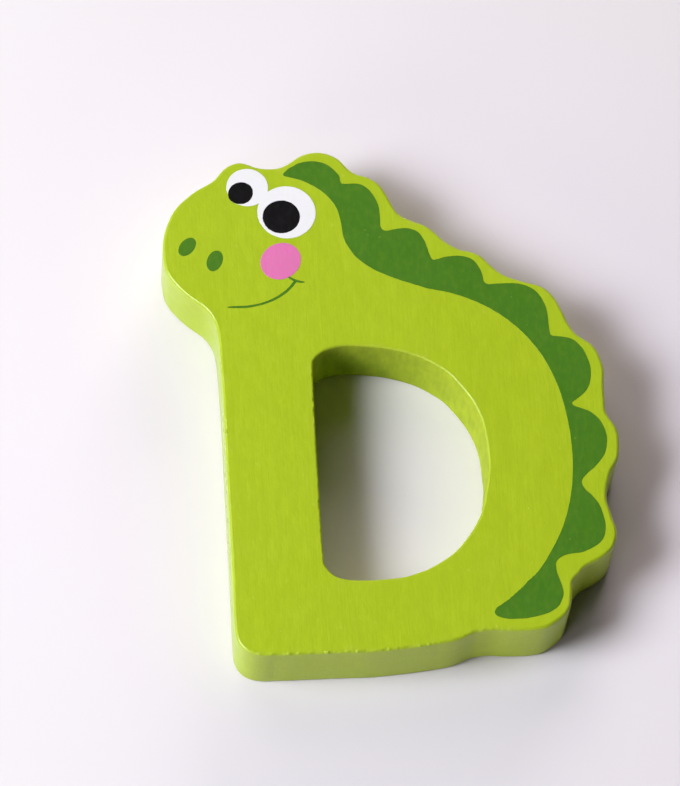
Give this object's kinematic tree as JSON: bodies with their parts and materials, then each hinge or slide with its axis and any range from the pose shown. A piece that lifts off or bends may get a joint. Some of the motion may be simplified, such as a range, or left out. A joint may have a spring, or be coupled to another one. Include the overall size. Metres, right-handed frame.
{
  "type": "wooden letter",
  "caption": "Flat wooden letter D for a nursery, sawn in the outline of a small dinosaur with a bumpy back, lacquered lime green, with a printed face and a printed scalloped ridge.",
  "frame": {"origin": "middle of the letter's width and height, on the plane that its back lies on", "axes": "+X to the reader's right, +Y up the letter, +Z out of the printed face"},
  "size_m": [0.0773, 0.0952, 0.0127],
  "materials": {
    "lime_lacquered_wood": "opaque satin lime green lacquer over sanded wood",
    "deep_green_ink": "satin screen-printed ink film",
    "white_ink": "satin screen-printed ink film",
    "black_ink": "slightly glossy screen-printed ink film",
    "pink_ink": "satin screen-printed ink film"
  },
  "bodies": {
    "root": {"letter_body": "lime_lacquered_wood", "ridge_print": "deep_green_ink", "eye_whites": "white_ink", "pupil_left": "black_ink", "pupil_right": "black_ink", "cheek_spot": "pink_ink", "nostril_left": "deep_green_ink", "nostril_right": "deep_green_ink", "smile_line": "deep_green_ink"}
  },
  "joints": []
}
